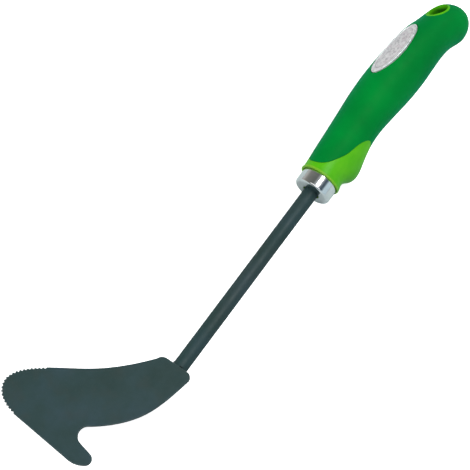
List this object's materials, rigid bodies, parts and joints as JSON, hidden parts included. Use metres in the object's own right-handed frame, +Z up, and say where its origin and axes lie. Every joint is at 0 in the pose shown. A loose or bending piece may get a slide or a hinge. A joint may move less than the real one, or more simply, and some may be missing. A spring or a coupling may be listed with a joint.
{
  "type": "hand weeder",
  "caption": "Hand weeder: a flat hooked blade with a toothed round toe, welded under the end of a round rod, in a contoured two-colour grip with a hanging hole.",
  "frame": {"origin": "centre of the hanging hole, where its axis crosses the rod's axis", "axes": "+X along the rod from the blade to the handle's end; +Z up, square to the flat blade; +Y towards the blade's toe"},
  "size_m": [0.3605, 0.0909, 0.0366],
  "materials": {
    "coated_blade": "matt dark slate coating",
    "coated_rod": "matt dark slate coating",
    "coated_weld": "matt dark slate coating",
    "ferrule_chrome": "polished",
    "lime_core": "satin",
    "green_grip": "matt soft-touch",
    "badge_rim": "bright",
    "badge_face": "satin, faint mottled print"
  },
  "bodies": {
    "root": {"blade": "coated_blade", "shaft": "coated_rod", "weld_side_left": "coated_weld", "weld_side_right": "coated_weld", "weld_end": "coated_weld", "weld_shoulder": "coated_weld", "ferrule": "ferrule_chrome", "handle_core": "lime_core", "soft_grip": "green_grip", "badge_frame": "badge_rim", "badge_plate": "badge_face"}
  },
  "joints": []
}
